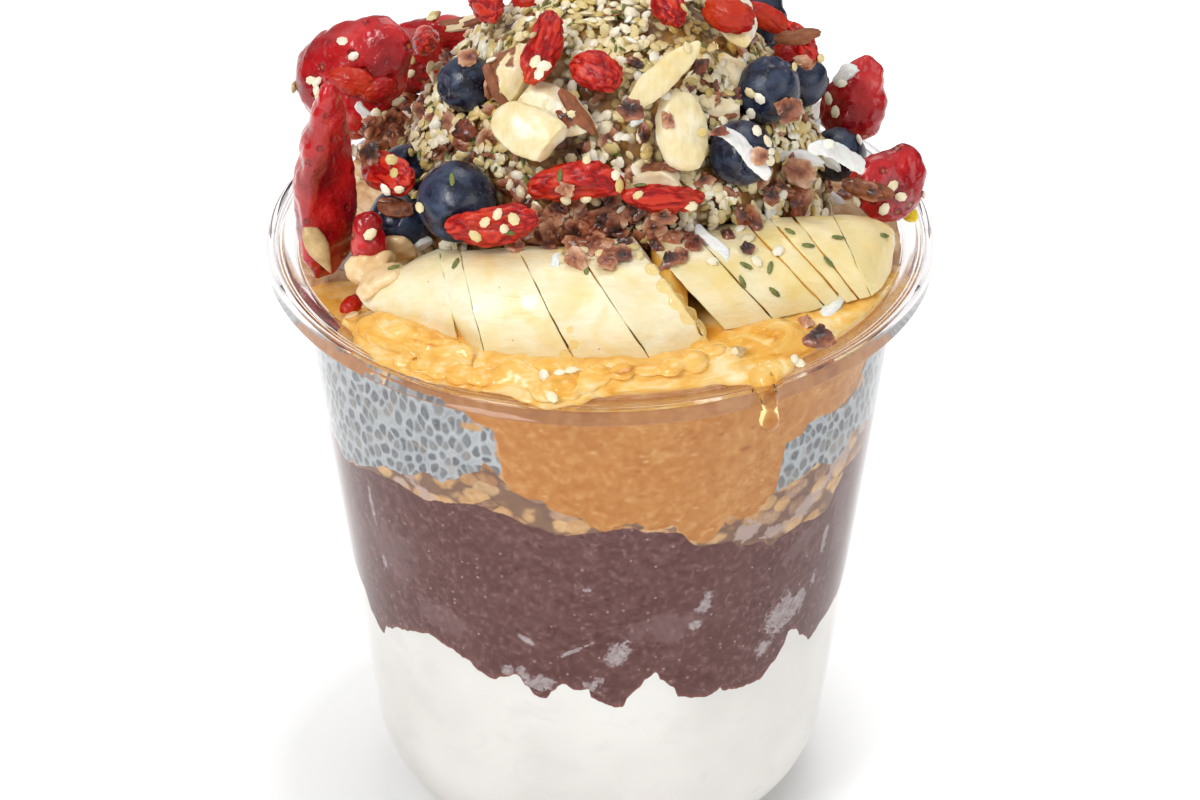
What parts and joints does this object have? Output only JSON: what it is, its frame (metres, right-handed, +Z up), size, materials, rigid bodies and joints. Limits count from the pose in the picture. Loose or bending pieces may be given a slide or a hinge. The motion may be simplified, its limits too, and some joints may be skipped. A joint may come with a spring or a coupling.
{
  "type": "acai bowl",
  "caption": "Layered acai bowl in a clear plastic tub: yogurt, acai, granola, chia pudding and peanut butter under sliced banana and a mound of berries, nuts and seeds.",
  "frame": {"origin": "middle of the tub's base, on the surface it stands on", "axes": "+Z up through the tub, -Y towards the front where the banana lies, +X to the right"},
  "size_m": [0.117, 0.117, 0.1598],
  "materials": {
    "tub": "clear, glossy moulded plastic",
    "yogurt": "smooth, moist, off-white",
    "acai": "dull purple-brown blended ice with fine specks",
    "granola": "toasted, dry, tan and brown",
    "chia": "blue-grey gel with soaked dark seeds",
    "butter": "smooth, oily, golden tan",
    "banana": "moist, pale cream, honey glaze on the right half",
    "blueberry": "dark navy with a thin bloom",
    "strawberry": "deep red, wet",
    "goji": "wrinkled dried berry, orange-red",
    "nut": "cream almond with brown skin",
    "coconut": "translucent white shreds",
    "seeds": "cream hemp hearts and dark brown cacao nibs"
  },
  "bodies": {
    "root": {"acai": "acai", "almond_piece_01": "nut", "almond_piece_02": "nut", "almond_piece_03": "nut", "almond_piece_04": "nut", "almond_piece_05": "nut", "almond_piece_06": "nut", "almond_piece_07": "nut", "banana_slice_01": "banana", "banana_slice_02": "banana", "banana_slice_03": "banana", "banana_slice_04": "banana", "banana_slice_05": "banana", "banana_slice_06": "banana", "banana_slice_07": "banana", "banana_slice_08": "banana", "banana_slice_09": "banana", "banana_slice_10": "banana", "banana_slice_11": "banana", "blueberry_01": "blueberry", "blueberry_02": "blueberry", "blueberry_03": "blueberry", "blueberry_04": "blueberry", "blueberry_05": "blueberry", "blueberry_06": "blueberry", "blueberry_07": "blueberry", "blueberry_08": "blueberry", "blueberry_09": "blueberry", "blueberry_10": "blueberry", "blueberry_11": "blueberry", "blueberry_12": "blueberry", "chia_pudding": "chia", "coconut_strip_01": "coconut", "coconut_strip_02": "coconut", "goji_berry_01": "goji", "goji_berry_02": "goji", "goji_berry_03": "goji", "goji_berry_04": "goji", "goji_berry_05": "goji", "goji_berry_06": "goji", "goji_berry_07": "goji", "goji_berry_08": "goji", "goji_berry_09": "goji", "goji_berry_10": "goji", "goji_berry_11": "goji", "goji_berry_12": "goji", "granola": "granola", "peanut_butter": "butter", "strawberry_01": "strawberry", "strawberry_02": "strawberry", "strawberry_03": "strawberry", "strawberry_04": "strawberry", "strawberry_05": "strawberry", "strawberry_06": "strawberry", "strawberry_07": "strawberry", "topping_heap": "seeds", "tub": "tub", "yogurt": "yogurt"}
  },
  "joints": []
}
